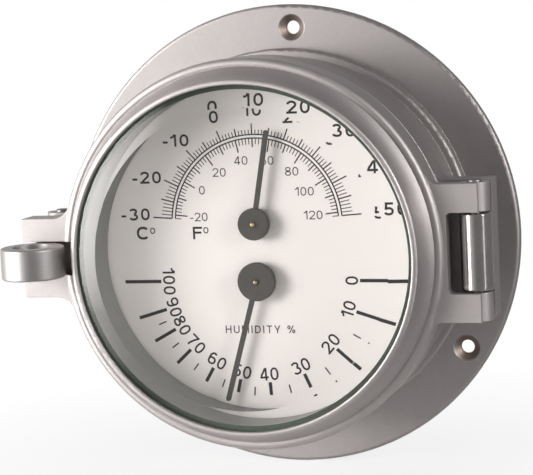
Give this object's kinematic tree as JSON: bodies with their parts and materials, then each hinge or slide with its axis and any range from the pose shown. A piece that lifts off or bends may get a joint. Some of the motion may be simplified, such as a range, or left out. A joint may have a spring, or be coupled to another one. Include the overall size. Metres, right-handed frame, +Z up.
{
  "type": "dial hygrometer",
  "caption": "Round flanged wall instrument with hinged, latched bezel over bevelled glass; one dial shows temperature and relative humidity by pointers.",
  "frame": {"origin": "centre of the mounting flange's flat back face", "axes": "-Y out of the dial towards the reader, +Z up to 12 o'clock, +X to 3 o'clock where the hinge is"},
  "size_m": [0.1518, 0.0688, 0.15],
  "materials": {
    "case_metal": "satin pearl chrome, worn to brass inside the screw holes",
    "bezel_metal": "satin pearl chrome",
    "polished_metal": "polished",
    "reflector_metal": "polished, slightly blue",
    "backing_ring": "matt dark green-grey, seen through the bevel",
    "lever_metal": "satin, slightly darker",
    "pin_metal": "satin",
    "screw_metal": "turned",
    "glass": "clear, bevelled edge",
    "rubber": "matt black",
    "felt_black": "matt black gasket",
    "washer": "flat",
    "dial": "matt silvered white with dark grey printed scales",
    "brass": "machined",
    "coil_bimetal": "rolled strip",
    "coil_fibre": "coated strip",
    "pointer_paint": "matt dark grey"
  },
  "bodies": {
    "case": {"case_body": "case_metal", "back_cover": "case_metal", "back_cover_screws": "screw_metal", "hinge_barrel": "polished_metal", "hinge_pin": "pin_metal", "bezel_seal": "rubber", "latch_pin": "pin_metal", "latch_washers": "washer", "dial_plate": "dial", "dial_screws": "screw_metal", "dial_studs": "brass", "bridge_nuts": "brass", "thermometer_bush": "brass", "thermometer_bridge": "brass", "hygrometer_bush": "brass", "hygrometer_bridge": "brass"},
    "bezel": {"bezel_ring": "bezel_metal", "glass": "glass", "glass_gasket": "felt_black", "glass_backing_ring": "backing_ring", "reflector_ring": "reflector_metal"},
    "latch": {"latch_lever": "lever_metal"},
    "thermometer_regulator": {"thermometer_adjuster": "brass", "thermometer_coil": "coil_bimetal"},
    "thermometer_hand": {"thermometer_collet": "brass", "thermometer_spindle": "brass", "thermometer_pointer": "pointer_paint"},
    "hygrometer_regulator": {"hygrometer_adjuster": "brass", "hygrometer_coil": "coil_fibre"},
    "hygrometer_hand": {"hygrometer_collet": "brass", "hygrometer_spindle": "brass", "hygrometer_pointer": "pointer_paint"}
  },
  "joints": [
    {"name": "bezel_hinge", "type": "hinge", "parent": "case", "child": "bezel", "pos_m": [0.0688, -0.044, 0], "axis": [0, 0, 1], "range_deg": [0, 120]},
    {"name": "latch_swing", "type": "hinge", "parent": "case", "child": "latch", "pos_m": [-0.0666, -0.0336, 0], "axis": [0, 0, -1], "range_deg": [0, 120]},
    {"name": "thermometer_adjust", "type": "hinge", "parent": "case", "child": "thermometer_regulator", "pos_m": [0, -0.019, 0.0089], "axis": [0, 1, 0], "range_deg": [-10, 10]},
    {"name": "thermometer_needle", "type": "hinge", "parent": "thermometer_regulator", "child": "thermometer_hand", "pos_m": [0, -0.041, 0.0089], "axis": [0, 1, 0], "range_deg": [-96.75, 75.25]},
    {"name": "hygrometer_adjust", "type": "hinge", "parent": "case", "child": "hygrometer_regulator", "pos_m": [0, -0.019, -0.0089], "axis": [0, 1, 0], "range_deg": [-10, 10]},
    {"name": "hygrometer_needle", "type": "hinge", "parent": "hygrometer_regulator", "child": "hygrometer_hand", "pos_m": [0, -0.041, -0.0089], "axis": [0, 1, 0], "range_deg": [-106.7, 73.3]}
  ]
}
